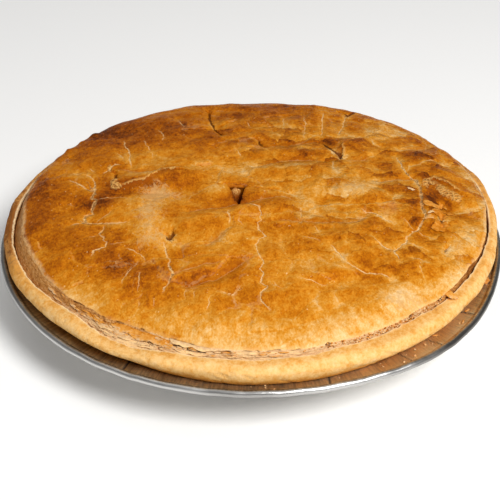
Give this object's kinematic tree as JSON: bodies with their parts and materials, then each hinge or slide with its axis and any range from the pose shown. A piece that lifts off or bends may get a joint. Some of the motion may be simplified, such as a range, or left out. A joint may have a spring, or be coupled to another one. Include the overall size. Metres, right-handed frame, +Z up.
{
  "type": "bacon and egg pie",
  "caption": "Round family pie with a domed, cracked flaky pastry lid and a steam vent, a rounded shortcrust edge and egg filling, baked and served in its own shallow foil dish.",
  "frame": {"origin": "middle of the object's box, on the plane that the dish stands on", "axes": "+Z up through the lid, -Y towards the near side of the picture, +X to its right"},
  "size_m": [0.2308, 0.2308, 0.0476],
  "materials": {
    "foil": "crinkled bright foil",
    "shortcrust": "dry pale golden pastry",
    "filling": "soft set egg",
    "browned_pastry": "egg-washed golden brown pastry"
  },
  "bodies": {
    "root": {"foil_dish": "foil", "pastry_case": "shortcrust", "filling": "filling", "pastry_lid": "browned_pastry"}
  },
  "joints": []
}
